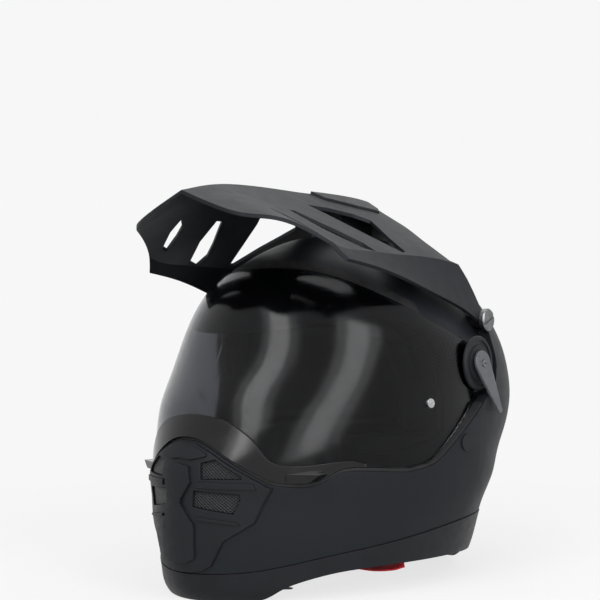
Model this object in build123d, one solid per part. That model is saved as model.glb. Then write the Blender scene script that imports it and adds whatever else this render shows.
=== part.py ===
from build123d import *
import math
import os

# Full-face dual sport helmet with a long peak, a wide face visor and an inner sun visor.
# All lengths are millimetres. +X is the wearer's left, -Y is the front and +Z is up.
# Shapes are laid out round the head centre and moved back by frame_shift when written,
# so that the origin lies in the middle of the footprint at table height.
# Shares are hand-chosen fractions of the size that they follow.

# Overall form of the shell
shell_height = 270
shell_half_width = 127
chin_reach = 190
rear_reach = 141
wall = 3.5
cut_overrun = 30
part_gap = 0.3
fit_gap = 0.1

# Horizontal outlines of the shell, from the rim to the crown
level_shares = [0.0, 0.0519, 0.1296, 0.2, 0.2444, 0.2778, 0.3407, 0.4074, 0.4889, 0.5741,
                0.6519, 0.7407, 0.8074, 0.8704, 0.9185, 0.9556, 0.9815, 0.9963]
half_width_shares = [0.7717, 0.8346, 0.8898, 0.9331, 0.9606, 0.9764, 0.9921, 1.0, 1.0, 0.9882,
                     0.9567, 0.8740, 0.7819, 0.6654, 0.5417, 0.4079, 0.2669, 0.1197]
brow_half_width_shares = [0.7480, 0.8031, 0.8550, 0.9020, 0.9300, 0.9450, 0.9560, 0.9560, 0.9400, 0.9310,
                          0.9094, 0.8300, 0.7440, 0.6299, 0.5100, 0.3800, 0.2440, 0.1050]
middle_shares = [-0.1418, -0.1277, -0.0851, -0.0567, -0.0284, -0.0142] + [0.0] * 12
front_shares = [0.9474, 0.9789, 0.9947, 1.0, 1.0, 1.0, 0.9921, 0.9632, 0.9184, 0.8368,
                0.7816, 0.7316, 0.6711, 0.5789, 0.4737, 0.3579, 0.2316, 0.1053]
rear_shares = [0.6525, 0.7163, 0.7447, 0.773, 0.844, 0.9007, 0.9433, 0.9858, 1.0, 0.9858,
               0.9482, 0.8702, 0.7823, 0.666, 0.5426, 0.4078, 0.2667, 0.1199]
nose_fullness_shares = [0.46, 0.44, 0.44, 0.44, 0.44, 0.45, 0.47, 0.5, 0.54] + [0.56] * 9
cheek_fullness_shares = [0.46, 0.44, 0.44, 0.44, 0.44, 0.45, 0.47, 0.5, 0.54] + [0.56] * 9
back_fullness_shares = [0.54, 0.52, 0.5, 0.48, 0.46, 0.46, 0.47, 0.54, 0.61,
                        0.62, 0.61, 0.6, 0.58] + [0.56] * 5

# Hinge line of both visors, across the helmet
pivot_y = 8.7
pivot_z = 162

# Face visor
visor_thickness = 2.2
visor_clearance = 1.3
visor_rim_thickness = 1.4

# Peak
peak_reach = 190
peak_height = 297.5
peak_half_width = 118
peak_thickness = 2.6

# Inner layers
foam_thickness = 30
comfort_thickness = 8
sun_visor_radius = 117
sun_visor_half_width = 103
sun_visor_thickness = 2

# The origin sits midway between the chin front and the shell's rear
frame_shift = (chin_reach - rear_reach) / 2


def level_slope(sizes, levels, i):
    """Change of an outline size with height at one level."""
    low, high = max(i - 1, 0), min(i + 1, len(levels) - 1)
    return (sizes[high] - sizes[low]) / (levels[high] - levels[low])


def section_wire(half_width, middle, front, rear, nose, cheek, back, level):
    """Closed outline at one level: two front arcs and two rear arcs."""
    def arc(side, tip, tip_share, side_share):
        return [(0, tip, level), (side * tip_share * half_width, tip, level),
                (side * half_width, middle + side_share * (tip - middle), level),
                (side * half_width, middle, level)]
    front_left = arc(1, -front, nose, cheek)
    rear_left = arc(1, rear, back, back)
    rear_right = arc(-1, rear, back, back)
    front_right = arc(-1, -front, nose, cheek)
    return Wire([Bezier(*front_left), Bezier(*rear_left[::-1]), Bezier(*rear_right),
                 Bezier(*front_right[::-1])])


def offset_skin(width_shares, gap, top_gap):
    """Solid within the shell form, grown by gap on the sides and by top_gap at the crown."""
    levels = [shell_height * share for share in level_shares]
    widths = [shell_half_width * share for share in width_shares]
    fronts = [chin_reach * share for share in front_shares]
    rears = [rear_reach * share for share in rear_shares]
    wires = []
    for i, level in enumerate(levels):
        lean = min(level_slope(widths, levels, i), 0)
        rise = -lean / math.sqrt(1 + lean ** 2) * top_gap

        def grown(sizes):
            slope = level_slope(sizes, levels, i)
            return sizes[i] + slope * rise + gap * math.sqrt(1 + slope ** 2)
        sizes = (grown(widths), middle_shares[i] * rear_reach, grown(fronts), grown(rears),
                 nose_fullness_shares[i], cheek_fullness_shares[i], back_fullness_shares[i])
        if i == 0:
            wires.append(section_wire(*sizes, -cut_overrun))
        wires.append(section_wire(*sizes, level + rise))
    return Solid.make_loft(wires, False)


def skin(gap):
    """Main form of the shell, grown by gap."""
    return offset_skin(half_width_shares, gap, gap)


def brow_skin(gap):
    """Narrower form that the visor and the forehead follow, grown by gap."""
    return offset_skin(brow_half_width_shares, gap, gap - wall)


def side_outline(shares):
    """Side-view points (y, z) from shares of the chin reach and the shell height."""
    return [(y * chin_reach, z * shell_height) for y, z in shares]


def front_outline(shares):
    """Front-view points (x, z) from shares of the half width and the shell height."""
    return [(x * shell_half_width, z * shell_height) for x, z in shares]


def closed_face(curve, corners):
    """Flat face bounded by a smooth curve and by straight runs through the corners."""
    return make_face([Spline(*curve), Polyline(curve[-1], *corners, curve[0])])


def side_prism(face):
    """Side-view face run through the whole width."""
    return extrude(Plane.YZ * face, amount=shell_half_width + cut_overrun, both=True)


def front_prism(face, start, depth):
    """Front-view face run forward from start over depth."""
    return extrude(Plane.XZ.offset(start) * face, amount=depth)


def plan_prism(face, bottom, top):
    """Plan-view face run from bottom to top."""
    return extrude(Pos(0, 0, bottom) * face, amount=top - bottom)


def pair(shape):
    """A left shape and its right mirror image as one group."""
    return [shape, mirror(shape, about=Plane.YZ)]


# Lower edge of the face visor, in side and front view
sight_side_shares = [(-1.2632, 0.2741), (-0.5, 0.3111), (-0.3579, 0.3296), (-0.2947, 0.337),
                     (-0.2526, 0.3481), (-0.2105, 0.3704), (-0.0947, 0.4333), (0.0421, 0.5037),
                     (0.1263, 0.5444), (0.1789, 0.5926), (0.3158, 0.7037)]
sight_front_shares = [(0, 0.4148), (0.0787, 0.4111), (0.1858, 0.3889), (0.3063, 0.3522),
                      (0.4016, 0.3222), (0.4488, 0.3074), (0.5039, 0.3011), (0.5984, 0.3022),
                      (0.6535, 0.3185), (0.6929, 0.3333), (0.7638, 0.3352), (0.8346, 0.3296),
                      (0.9291, 0.3222), (1.1811, 0.3185)]
gasket_width = 2.4
port_inset = 9


def mirrored(points):
    """Points of one side followed through to the other side."""
    return [(-x, z) for x, z in reversed(points) if x > 0] + points


def above_sight_line(drop):
    """Everything above the visor's lower edge, lowered by drop."""
    top = 2 * shell_height
    side = [(y, z - drop) for y, z in side_outline(sight_side_shares)]
    side_face = make_face(Polyline(*side, (side[-1][0], top), (side[0][0], top), close=True))
    front = [(x, z - drop) for x, z in mirrored(front_outline(sight_front_shares))]
    front_face = closed_face(front, [(front[-1][0], top), (front[0][0], top)])
    deep = 2 * chin_reach
    return side_prism(side_face) & front_prism(front_face, -deep, 2 * deep)


# Rear edge of the recess that the visor moves in
recess_rear_shares = [(0.0737, 0.4444), (0.1368, 0.5222), (0.1789, 0.563), (0.1895, 0.6074),
                      (0.1895, 0.6667), (0.2, 0.7259), (0.2211, 0.7926), (0.2474, 0.8889),
                      (0.2632, 1.1111)]


def recess(grow):
    """Recess for the visor and the forehead, grown by grow."""
    rear = [(y + grow, z) for y, z in side_outline(recess_rear_shares)]
    far = -2 * chin_reach
    lower = [(far, 0), (rear[0][0], 0)]
    face = make_face(Polyline(*rear, (far, rear[-1][1]), *lower, close=True))
    return side_prism(face) & above_sight_line(gasket_width + grow)


# Seam between the shell and the rim trim, and the arched lower edge of the trim
seam_shares = [(-1.2632, 0.063), (-1.0526, 0.0704), (-0.8895, 0.0767), (-0.6895, 0.1056),
               (-0.5, 0.127), (-0.3053, 0.1474), (-0.0632, 0.1704), (0.2105, 0.1741), (0.4, 0.1556),
               (0.5789, 0.1333), (0.8947, 0.1259)]
rim_shares = [(-1.2632, 0), (-0.8526, 0), (-0.7895, 0.0259), (-0.7158, 0.05), (-0.6211, 0.0648),
              (-0.5, 0.0715), (-0.2105, 0.0741), (0.1053, 0.0667), (0.3158, 0.0333), (0.4421, 0),
              (0.8947, 0)]


def above_line(shares, drop):
    """Everything above a side-view line, lowered by drop."""
    line = [(y, z - drop) for y, z in side_outline(shares)]
    top = 2 * shell_height
    return side_prism(closed_face(line, [(line[-1][0], top), (line[0][0], top)]))


def above_rim():
    """Everything above the rim's lower edge, which is flat at the front and the rear."""
    line = side_outline(rim_shares)
    top = 2 * shell_height
    arch = Spline(*line[1:-1], tangents=[(1, 0), (1, 0)])
    face = make_face([Line(line[0], line[1]), arch, Line(line[-2], line[-1]),
                      Polyline(line[-1], (line[-1][0], top), (line[0][0], top), line[0])])
    return side_prism(face)


# Opening of the shell in front of the eyes
port_side_shares = [(-1.2632, 0.2222), (-0.1789, 0.4074), (-0.1526, 0.5), (-0.1684, 0.6111),
                    (-0.2316, 0.6889), (-0.3684, 0.7259), (-0.5526, 0.7111), (-0.7368, 0.6815),
                    (-1.2632, 0.6519)]

visor_gap = visor_thickness + visor_clearance
pivot_pocket_radius = 25
pivot_pocket_x = 112.3
hub_radius = 7.5
running_clearance = 0.08
shaft_radius = 3
screw_y = 31.5
screw_z = 195.7
screw_slot_angle = 25


def across(radius, start, end, y=None, z=None):
    """Round bar along X from start to end, on the hinge line unless a place is given."""
    at_y = pivot_y if y is None else y
    at_z = pivot_z if z is None else z
    bar = Cylinder(radius, abs(end - start))
    return Pos((start + end) / 2, at_y, at_z) * Rot(0, 90, 0) * bar


def make_outer_shell():
    outer = (skin(0) - recess(0)) + (brow_skin(-visor_gap) & recess(0))
    hollow = (skin(-wall) - recess(wall)) + (brow_skin(-visor_gap - wall) & recess(wall))
    port = side_prism(make_face(Polyline(*side_outline(port_side_shares), close=True)))
    shell = outer - hollow - (port & above_sight_line(-port_inset))
    shell = shell & above_line(seam_shares, 0)
    shell -= lower_vent_holes()
    side_reach = shell_half_width + cut_overrun
    for side in (1, -1):
        shell -= across(pivot_pocket_radius, side * pivot_pocket_x, side * side_reach)
        shell -= across(shaft_radius + running_clearance, side * side_reach / 2, side * side_reach)
    return shell


trim_proud = 0.6
gasket_inset = 1
gasket_keep_shares = [(-1.2632, 0.1481), (0.0211, 0.1481), (0.0211, 0.5185), (-1.2632, 0.5185)]


def make_bottom_trim():
    ring = skin(trim_proud) - skin(-wall)
    return (ring & above_rim()) - above_line(seam_shares, part_gap)


def make_eyeport_gasket():
    strip = skin(-gasket_inset) - brow_skin(-visor_gap + fit_gap)
    strip = strip & (above_sight_line(gasket_width - fit_gap) - above_sight_line(part_gap))
    front = side_prism(make_face(Polyline(*side_outline(gasket_keep_shares), close=True)))
    return strip & front


# Upper and rear edge of the face visor in side view
visor_top_shares = [(-1.2632, 0.8741), (-0.8947, 0.8741), (-0.7263, 0.8704), (-0.5947, 0.8611),
                    (-0.5368, 0.8537), (-0.4789, 0.8363), (-0.3895, 0.8), (-0.3053, 0.7667),
                    (-0.2053, 0.7278), (-0.1053, 0.6944), (-0.0316, 0.6704), (0.0263, 0.6556)]
visor_ear_shares = [(0.0737, 0.65), (0.1079, 0.6296), (0.1195, 0.6), (0.1079, 0.5556),
                    (0.0842, 0.5222), (0.0447, 0.4444), (0.0447, 0.1481), (-1.2632, 0.1481)]


def visor_region():
    """Outline of the face visor run through the helmet."""
    face = closed_face(side_outline(visor_top_shares), side_outline(visor_ear_shares))
    return side_prism(face) & above_sight_line(0)


def make_face_visor():
    visor = (brow_skin(0) - brow_skin(-visor_thickness)) & visor_region()
    side_reach = shell_half_width + cut_overrun
    for side in (1, -1):
        visor -= across(hub_radius + running_clearance, side * side_reach / 2, side * side_reach)
    return visor


rim_top_shares = [(0, 0.4726), (0.0787, 0.4704), (0.1457, 0.4648), (0.2354, 0.4519),
                  (0.3102, 0.4315), (0.3701, 0.4056), (0.4094, 0.3778), (0.4488, 0.3556),
                  (0.5197, 0.3444), (0.6299, 0.3481), (0.7244, 0.3537)]
rim_foot_shares = [(0.7559, 0.3444), (0.7559, 0.2222)]


def make_visor_rim():
    slab = brow_skin(visor_rim_thickness) - brow_skin(fit_gap)
    top = mirrored(front_outline(rim_top_shares))
    foot = front_outline(rim_foot_shares)
    mirror_foot = [(-x, z) for x, z in reversed(foot)]
    face = closed_face(top, foot + mirror_foot)
    return slab & front_prism(face, 0, 2 * chin_reach) & above_sight_line(0)


# Lift tabs low on each side of the visor
tab_x = 73
tab_y = -144
tab_z = 85.2
tab_length = 34
tab_height = 5.5
tab_reach = 4.4


def make_visor_tab():
    turn = math.degrees(math.atan2(tab_x, -tab_y))
    bar = Box(tab_length, 2 * tab_reach, tab_height)
    bar = fillet(bar.edges().filter_by(Axis.Z), tab_reach * 0.8)
    placed = Pos(tab_x, tab_y, tab_z) * Rot(0, 0, turn) * bar
    return (placed - brow_skin(visor_rim_thickness + fit_gap)) & above_sight_line(0)


pin_y = -50
pin_z = 133.6
pin_radius = 3.4
pin_height = 1.4


def make_lens_pin():
    bar = across(pin_radius, shell_half_width / 2, shell_half_width, pin_y, pin_z)
    return bar & (brow_skin(pin_height) - brow_skin(fit_gap))


# Hinge hardware of the face visor
cover_radius = 21
cover_x = 119.4
cover_thickness = 2.4
cover_ring_width = 3.5
cover_ring_depth = 0.8
cover_screw_radius = 4.2
lever_x = 123.6
lever_tilt = 8.5
lever_thickness = 2.2
lever_head_radius = 9.7
lever_tail_radius = 2.6
lever_length = 39
lever_angle = 67
shaft_end_gap = 0.6
lever_screw_radius = 2.8
lever_screw_height = 0.8
slot_width = 1.2
slot_depth = 1


def make_pivot_hub():
    hub = across(hub_radius, pivot_pocket_x + fit_gap, cover_x - fit_gap)
    return hub - across(shaft_radius + running_clearance, pivot_pocket_x, cover_x)


def make_pivot_cover():
    cover = across(cover_radius, cover_x, cover_x + cover_thickness)
    outer = cover.edges().filter_by(GeomType.CIRCLE).sort_by(Axis.X)[-1]
    cover = chamfer(outer, cover_thickness * 0.4)
    inner_ring = cover_radius - 2 * cover_ring_width
    groove = across(cover_radius - cover_ring_width, cover_x + cover_thickness - cover_ring_depth,
                    cover_x + 2 * cover_thickness)
    groove -= across(inner_ring, cover_x, cover_x + 2 * cover_thickness)
    cover -= groove
    return cover - across(shaft_radius + running_clearance, cover_x - cover_thickness, lever_x)


def make_lever():
    tail_y = lever_length * math.cos(math.radians(lever_angle))
    tail_z = -lever_length * math.sin(math.radians(lever_angle))
    head = Circle(lever_head_radius)
    tail = Pos(tail_y, tail_z) * Circle(lever_tail_radius)
    face = make_hull((head + tail).edges())
    blade = extrude(Plane.YZ.offset(lever_x) * Pos(pivot_y, pivot_z) * face, amount=lever_thickness)
    blade = fillet(blade.faces().sort_by(Axis.X)[-1].edges(), lever_thickness * 0.35)
    across_lever = (0, -math.sin(math.radians(lever_angle)), -math.cos(math.radians(lever_angle)))
    blade = blade.rotate(Axis((lever_x, pivot_y, pivot_z), across_lever), lever_tilt)
    hole_radius = lever_screw_radius + running_clearance
    return blade - across(hole_radius, lever_x - lever_thickness, lever_x + 2 * lever_thickness)


def make_lever_screw():
    head = across(lever_screw_radius, lever_x + fit_gap, lever_x + lever_thickness + lever_screw_height)
    slot = Box(2 * slot_depth, 2 * lever_screw_radius, slot_width)
    return head - Pos(lever_x + lever_thickness + lever_screw_height, pivot_y, pivot_z) * slot


def make_pivot_cap():
    cap = across(cover_screw_radius, cover_x + cover_thickness + fit_gap, cover_x + 2 * cover_thickness)
    slot = Box(2 * slot_depth, slot_width, 2 * cover_screw_radius)
    slot = Pos(cover_x + 2 * cover_thickness, pivot_y, pivot_z) * slot
    return mirror(cap - slot, about=Plane.YZ)


# Chin guard, its raised centre plate, the nose panel and the vents, in front view
chin_guard_shares = [(0, 0.0748), (0.063, 0.0756), (0.1339, 0.0815), (0.1811, 0.0941),
                     (0.248, 0.157), (0.3811, 0.2022), (0.4181, 0.2478), (0.4606, 0.2889),
                     (0.437, 0.2944), (0.4016, 0.3081), (0.3063, 0.3389), (0.1858, 0.3759),
                     (0.0787, 0.3985), (0, 0.4022)]
centre_plate_shares = [(0, 0.097), (0.063, 0.1007), (0.1102, 0.113), (0.1157, 0.187), (0.1102, 0.2),
                       (0.0709, 0.2222), (0.0299, 0.25), (0.0331, 0.2593), (0.0913, 0.3019),
                       (0.0724, 0.3437), (0, 0.35)]
nose_panel_shares = [(0, 0.363), (0.074, 0.36), (0.1614, 0.3689), (0.1654, 0.3741), (0.0945, 0.3911),
                     (0, 0.3978)]
upper_vent_shares = [(0.1339, 0.3526), (0.2126, 0.3622), (0.3425, 0.3215), (0.3433, 0.3126),
                     (0.1433, 0.3111)]
lower_vent_shares = [(0.1024, 0.2837), (0.3331, 0.2759), (0.337, 0.2656), (0.3016, 0.2256),
                     (0.1835, 0.2348), (0.0976, 0.2422)]
rib_shares = [(0.126, 0.3052), (0.3937, 0.3022), (0.4055, 0.2874), (0.126, 0.2904)]
low_rib_shares = [(0.1307, 0.2178), (0.315, 0.2059), (0.3307, 0.1985), (0.1307, 0.2096)]
chin_guard_thickness = 2.6
plate_thickness = 2.2
mesh_thickness = 0.8
mesh_margin = 0.5


def forward_block(points):
    """Front-view outline run forward through the chin."""
    return front_prism(make_face(Polyline(*points, close=True)), 0, 2 * chin_reach)


def both_sides(shares):
    """Front-view outline of one side joined to its mirror image."""
    points = front_outline(shares)
    return points + [(-x, z) for x, z in reversed(points) if x > 0]


def skin_layer(inner, outer):
    """Layer that follows the shell from inner to outer offset."""
    return skin(outer) - skin(inner)


def vent_blocks():
    blocks = []
    for shares in (upper_vent_shares, lower_vent_shares):
        blocks += pair(forward_block(front_outline(shares)))
    return blocks


def make_chin_guard():
    guard = skin_layer(fit_gap, chin_guard_thickness) & forward_block(both_sides(chin_guard_shares))
    return guard - vent_blocks()


def make_centre_plate():
    low = chin_guard_thickness + fit_gap
    return skin_layer(low, low + plate_thickness) & forward_block(both_sides(centre_plate_shares))


def make_nose_panel():
    low = chin_guard_thickness + fit_gap
    return skin_layer(low, low + plate_thickness / 2) & forward_block(both_sides(nose_panel_shares))


def make_chin_ribs():
    low = chin_guard_thickness + fit_gap
    layer = skin_layer(low, low + plate_thickness / 2)
    blocks = pair(forward_block(front_outline(rib_shares)))
    blocks += pair(forward_block(front_outline(low_rib_shares)))
    return [layer & block for block in blocks]


def make_vent_meshes():
    layer = skin_layer(fit_gap, fit_gap + mesh_thickness)
    meshes = []
    for shares in (upper_vent_shares, lower_vent_shares):
        face = offset(make_face(Polyline(*front_outline(shares), close=True)), -mesh_margin)
        meshes += [layer & block for block in pair(front_prism(face, 0, 2 * chin_reach))]
    return meshes


# Round plugs on the sides of the shell
plug_y = -18
plug_z = 104
plug_radius = 6.4
plug_height = 1


def make_side_plugs():
    layer = skin_layer(fit_gap, plug_height)
    bar = across(plug_radius, shell_half_width / 2, shell_half_width + cut_overrun, plug_y, plug_z)
    return pair(layer & bar)


# Gasket strip on the forehead, just above the visor's upper edge
brow_gasket_shares = [(-1.2632, 0.8815), (-0.8947, 0.8815), (-0.7263, 0.8778), (-0.5947, 0.8685),
                      (-0.5368, 0.8611), (-0.4789, 0.8437), (-0.3895, 0.8074), (-0.3053, 0.7741),
                      (-0.2053, 0.7352)]
brow_gasket_height = 9


def make_brow_gasket():
    layer = brow_skin(-visor_gap + part_gap + visor_clearance / 2) - brow_skin(-visor_gap + fit_gap)
    lower = side_outline(brow_gasket_shares)
    upper = [(y, z + brow_gasket_height) for y, z in reversed(lower)]
    face = make_face([Spline(*lower), Line(lower[-1], upper[0]), Spline(*upper), Line(upper[-1], lower[0])])
    return layer & side_prism(face)


# Peak: a shallow gable from ridge to fold, then a steep flange down to its lower edge
peak_station_shares = [-1.03, -0.92, -0.78, -0.65, -0.5, -0.32, -0.15, 0.0, 0.16, 0.3]
ridge_shares = [0.9496, 0.9664, 0.9832, 0.9899, 0.9933, 0.9950, 0.9983, 1.0, 0.9966, 0.966]
fold_x_shares = [0.763, 0.763, 0.763, 0.763, 0.763, 0.771, 0.785, 0.810, 0.840, 0.860]
fold_drop_shares = [0.118, 0.120, 0.143, 0.172, 0.178, 0.180, 0.182, 0.188, 0.198, 0.202]
edge_x_shares = [0.83, 0.83, 0.83, 0.833, 0.852, 0.885, 0.912, 0.935, 0.96, 0.98]
edge_z_shares = [0.795, 0.795, 0.793, 0.787, 0.775, 0.749, 0.718, 0.69, 0.64, 0.60]


def peak_section(i, low, high):
    """Closed cross-section of the peak at one station, between two offsets of its surface."""
    y = peak_station_shares[i] * peak_reach
    ridge = peak_height * ridge_shares[i]
    fold = (peak_half_width * fold_x_shares[i], ridge - peak_height * fold_drop_shares[i])
    edge = (peak_half_width * edge_x_shares[i], peak_height * edge_z_shares[i])
    gable = math.atan2(ridge - fold[1], fold[0])
    flange = math.atan2(fold[1] - edge[1], edge[0] - fold[0])
    middle = (gable + flange) / 2

    def points(gap):
        corner = gap / math.cos((flange - gable) / 2)
        return [(0, ridge + gap / math.cos(gable)),
                (fold[0] + corner * math.sin(middle), fold[1] + corner * math.cos(middle)),
                (edge[0] + gap * math.sin(flange), edge[1] + gap * math.cos(flange))]
    upper, lower = points(high), points(low)
    left = upper + lower[::-1]
    right = [(-x, z) for x, z in left[1:-1]]
    loop = [Vector(x, y, z) for x, z in left + right[::-1]]
    return Wire.make_polygon(loop, close=True)


def peak_layer(low, high):
    """Layer that follows the peak's surface between two offsets."""
    sections = [peak_section(i, low, high) for i in range(len(peak_station_shares))]
    return Solid.make_loft(sections, False)


peak_front_shares = [(-0.7953, -0.6526), (-0.7323, -0.6895), (-0.6693, -0.7368), (-0.5669, -0.8421),
                     (-0.4882, -0.9158), (-0.3937, -0.9684), (-0.2362, -0.9963), (0, -1),
                     (0.2362, -0.9963), (0.3937, -0.9684), (0.4882, -0.9158), (0.5669, -0.8421),
                     (0.6693, -0.7368), (0.7323, -0.6895), (0.7953, -0.6526)]
peak_rear_shares = [(0.8189, -0.6211), (1.1811, -0.5263), (1.1811, 0.3158), (0.937, 0.2368),
                    (0.8661, 0.1895), (0.8031, 0.1316), (0.7402, 0.0632), (0.4724, 0.1368),
                    (0.2362, 0.2211), (0, 0.2737), (-0.2362, 0.2211), (-0.4724, 0.1368),
                    (-0.7402, 0.0632), (-0.8031, 0.1316), (-0.8661, 0.1895), (-0.937, 0.2368),
                    (-1.1811, 0.3158), (-1.1811, -0.5263), (-0.8189, -0.6211)]
front_slot_shares = [(0.3386, -0.7737), (0.4567, -0.7526), (0.5984, -0.7053), (0.6063, -0.6763),
                     (0.4882, -0.7), (0.3937, -0.7289)]
middle_slot_shares = [(0.2835, -0.6053), (0.4724, -0.5711), (0.6772, -0.4947), (0.7087, -0.4316),
                      (0.6142, -0.4316), (0.5039, -0.4737), (0.378, -0.5316), (0.2835, -0.5737)]
rear_slot_shares = [(0.1732, -0.4053), (0.2756, -0.3632), (0.4331, -0.3158), (0.5906, -0.2684),
                    (0.6929, -0.2368), (0.685, -0.2105), (0.5197, -0.1632), (0.3937, -0.1158),
                    (0.2992, -0.0842), (0.2362, -0.1474), (0.1811, -0.2737)]


def plan_outline(shares):
    """Plan-view points (x, y) from shares of the half width and the chin reach."""
    return [(x * shell_half_width, y * chin_reach) for x, y in shares]


def upright_block(points):
    """Plan-view outline run upward through the peak."""
    return plan_prism(make_face(Polyline(*points, close=True)), shell_height / 2, 2 * peak_height)


def peak_outline():
    front = Spline(*plan_outline(peak_front_shares))
    rear = plan_outline(peak_rear_shares)
    return make_face([front, Polyline(front @ 1, *rear, front @ 0)])


def make_peak():
    block = plan_prism(peak_outline(), shell_height / 2, 2 * peak_height)
    peak = peak_layer(-peak_thickness, 0) & block
    for shares in (front_slot_shares, middle_slot_shares, rear_slot_shares):
        peak -= pair(upright_block(plan_outline(shares)))
    peak -= skin(part_gap) - recess(-part_gap)
    side_reach = shell_half_width + cut_overrun
    hole_radius = screw_radius + running_clearance
    for side in (1, -1):
        peak -= across(hole_radius, side * side_reach / 2, side * side_reach, screw_y, screw_z)
    return peak


# Raised air outlet on the ridge of the peak
outlet_shares = [(0, -0.2316), (0.0709, -0.1895), (0.1339, -0.0211), (0.1496, 0.1263),
                 (0.0945, 0.1684), (0, 0.1842)]
outlet_height = 1.8


def make_peak_outlet():
    points = plan_outline(outlet_shares)
    points += [(-x, y) for x, y in reversed(points) if x > 0]
    return peak_layer(fit_gap, outlet_height) & upright_block(points)


# Side screws, the spacers behind them and the middle post of the peak
screw_radius = 3
screw_seat_x = 113.6
screw_head_radius = 8.8
screw_head_thickness = 4.2
boss_radius = 6
duct_shares = [(0, -0.1579), (0.1181, -0.1263), (0.189, 0.0316), (0.2047, 0.1895), (0, 0.2105)]


def make_peak_screw():
    shank = across(screw_radius, screw_seat_x - boss_radius, screw_seat_x, screw_y, screw_z)
    head = across(screw_head_radius, screw_seat_x, screw_seat_x + screw_head_thickness, screw_y, screw_z)
    rim = head.edges().filter_by(GeomType.CIRCLE).sort_by(Axis.X)[-1]
    head = chamfer(rim, screw_head_thickness * 0.25)
    slot = Box(2 * slot_depth, 2 * screw_head_radius, 2 * slot_width)
    slot = Pos(screw_seat_x + screw_head_thickness, screw_y, screw_z) * Rot(screw_slot_angle, 0, 0) * slot
    return (shank + head) - slot


def outside_peak():
    """Everything between the peak's inner surface and well outside it."""
    return peak_layer(-peak_thickness - fit_gap, cut_overrun)


def make_peak_boss():
    bar = across(boss_radius, shell_half_width / 2, screw_seat_x, screw_y, screw_z)
    bar -= across(screw_radius + running_clearance, shell_half_width / 2, shell_half_width, screw_y, screw_z)
    return (bar - brow_skin(-visor_gap + fit_gap)) - outside_peak()


def make_peak_duct():
    """Air duct that carries the middle of the peak on the crown."""
    points = plan_outline(duct_shares)
    points += [(-x, y) for x, y in reversed(points) if x > 0]
    block = plan_prism(make_face(Polyline(*points, close=True)), shell_height * 0.9, peak_height)
    return (block - brow_skin(-visor_gap + fit_gap)) - outside_peak()


# Inner layers: crown foam, comfort liner, cheek foam and pads, chin foam and neck roll
foam_gap = 0.3
crown_base = 112
foam_front_shares = [(-1.2632, 0.2222), (-0.2, 0.2222), (-0.1895, 0.4148), (-0.1789, 0.5556),
                     (-0.2316, 0.6815), (-0.3684, 0.7407), (-0.5526, 0.763), (-1.2632, 0.763)]


def above_level(level):
    """Everything above a level."""
    size = 4 * chin_reach
    return Pos(0, 0, level + size / 2) * Box(size, size, size)


def crown_block():
    """Space above the cheeks and behind the eye opening."""
    face = make_face(Polyline(*side_outline(foam_front_shares), close=True))
    return above_level(crown_base) - side_prism(face)


def make_crown_foam():
    outer = -visor_gap - wall - foam_gap
    foam = (brow_skin(outer) & crown_block()) - brow_skin(outer - foam_thickness)
    foam -= sun_visor_room()
    return foam - across(shaft_radius + part_gap, -shell_half_width, shell_half_width)


def make_comfort_liner():
    outer = -visor_gap - wall - foam_thickness - 2 * foam_gap
    return (brow_skin(outer) & crown_block()) - brow_skin(outer - comfort_thickness)


def side_block(front, rear, bottom, top):
    """Box on the left side, from the middle outwards."""
    size_x = shell_half_width + cut_overrun
    return Pos(size_x / 2, (front + rear) / 2, (bottom + top) / 2) * Box(size_x, rear - front, top - bottom)


cheek_front = -104
cheek_rear = 44
cheek_bottom = 24
cheek_foam_thickness = 13
cheek_pad_thickness = 16
strap_slit = 8
cheek_round = 6


def make_cheek_foam():
    outer = -visor_gap - wall - foam_gap
    layer = brow_skin(outer) - brow_skin(outer - cheek_foam_thickness)
    block = side_block(cheek_front, cheek_rear, cheek_bottom, crown_base - part_gap)
    return layer & block


def make_cheek_pad():
    outer = -visor_gap - wall - foam_gap - cheek_foam_thickness - strap_slit
    layer = brow_skin(outer) - brow_skin(outer - cheek_pad_thickness)
    block = side_block(cheek_front, cheek_rear, cheek_bottom, crown_base - part_gap)
    block = fillet(block.edges().filter_by(Axis.X), cheek_round)
    return layer & block


chin_foam_thickness = 20
chin_foam_rear = -112
chin_foam_half_width = 84
chin_foam_bottom = 24
chin_foam_top = 96


vent_hole_margin = 3
shutter_thickness = 1.5
shutter_gap = 1.2
shutter_half_width = 46
shutter_bottom = 59
shutter_top = 82
shutter_travel = 10
shutter_room = 2
shutter_tab_width = 12
shutter_tab_height = 5
shutter_tab_reach = 7


def lower_vent_holes():
    """Vent holes behind the lower meshes."""
    face = offset(make_face(Polyline(*front_outline(lower_vent_shares), close=True)), -vent_hole_margin)
    return pair(front_prism(face, 0, 2 * chin_reach))


def chin_box(half_width, bottom, top):
    """Box forward of the chin foam's rear face."""
    depth = 2 * chin_reach + chin_foam_rear
    return Pos(0, chin_foam_rear - depth / 2, (bottom + top) / 2) * Box(2 * half_width, depth, top - bottom)


def shutter_tab(grow, drop):
    """Thumb tab that reaches in through the chin foam."""
    level = (shutter_bottom + shutter_top) / 2
    depth = chin_foam_thickness + shutter_tab_reach
    front = -chin_reach + wall + shutter_thickness + shutter_gap
    tab = Box(shutter_tab_width + 2 * grow, depth, shutter_tab_height + 2 * grow + drop)
    return Pos(0, front + depth / 2, level - drop / 2) * tab


def make_chin_shutter():
    layer = skin_layer(-wall - shutter_gap - shutter_thickness, -wall - shutter_gap)
    plate = layer & chin_box(shutter_half_width, shutter_bottom, shutter_top)
    plate -= lower_vent_holes()
    room = skin(-wall - shutter_gap - shutter_thickness / 2)
    return plate + (shutter_tab(0, 0) & room)


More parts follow.
